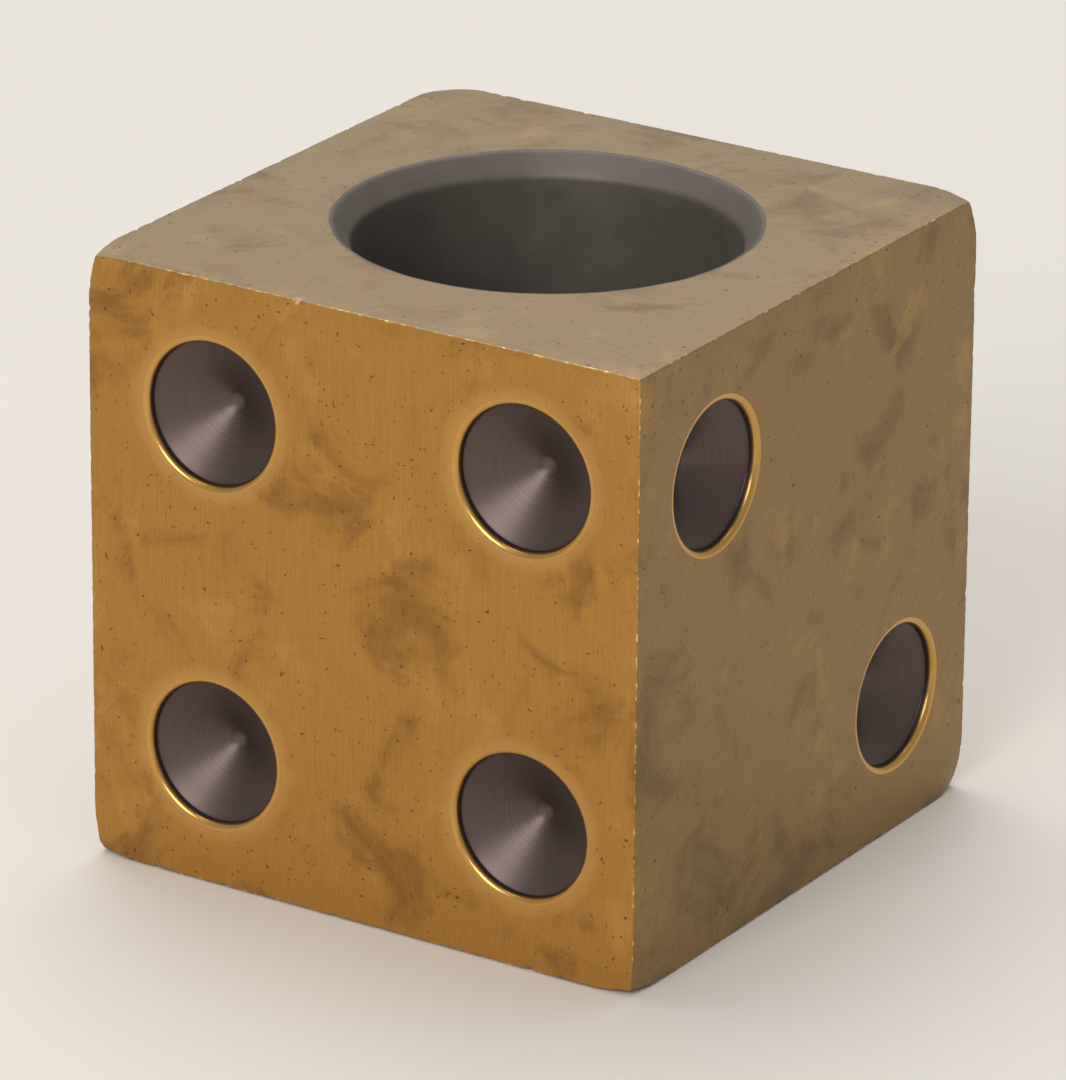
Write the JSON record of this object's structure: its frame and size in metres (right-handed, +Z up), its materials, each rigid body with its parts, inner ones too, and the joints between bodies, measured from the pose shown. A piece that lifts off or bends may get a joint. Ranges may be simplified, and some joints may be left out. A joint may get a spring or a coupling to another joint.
{
  "type": "dice-shaped brass holder",
  "caption": "Solid brass die that works as a small desk holder: drilled pips on its faces and a countersunk blind bore in its top.",
  "frame": {"origin": "middle of the face the block stands on, which is its six", "axes": "+Z up along the bore, -Y out of the four, +X out of the two"},
  "size_m": [0.0412, 0.041, 0.0413],
  "materials": {
    "aged_brass": "unlacquered brass, filed by hand and browned with age, with dark pips and bore and pale verdigris round the bore"
  },
  "bodies": {
    "root": {"die_block": "aged_brass"}
  },
  "joints": []
}
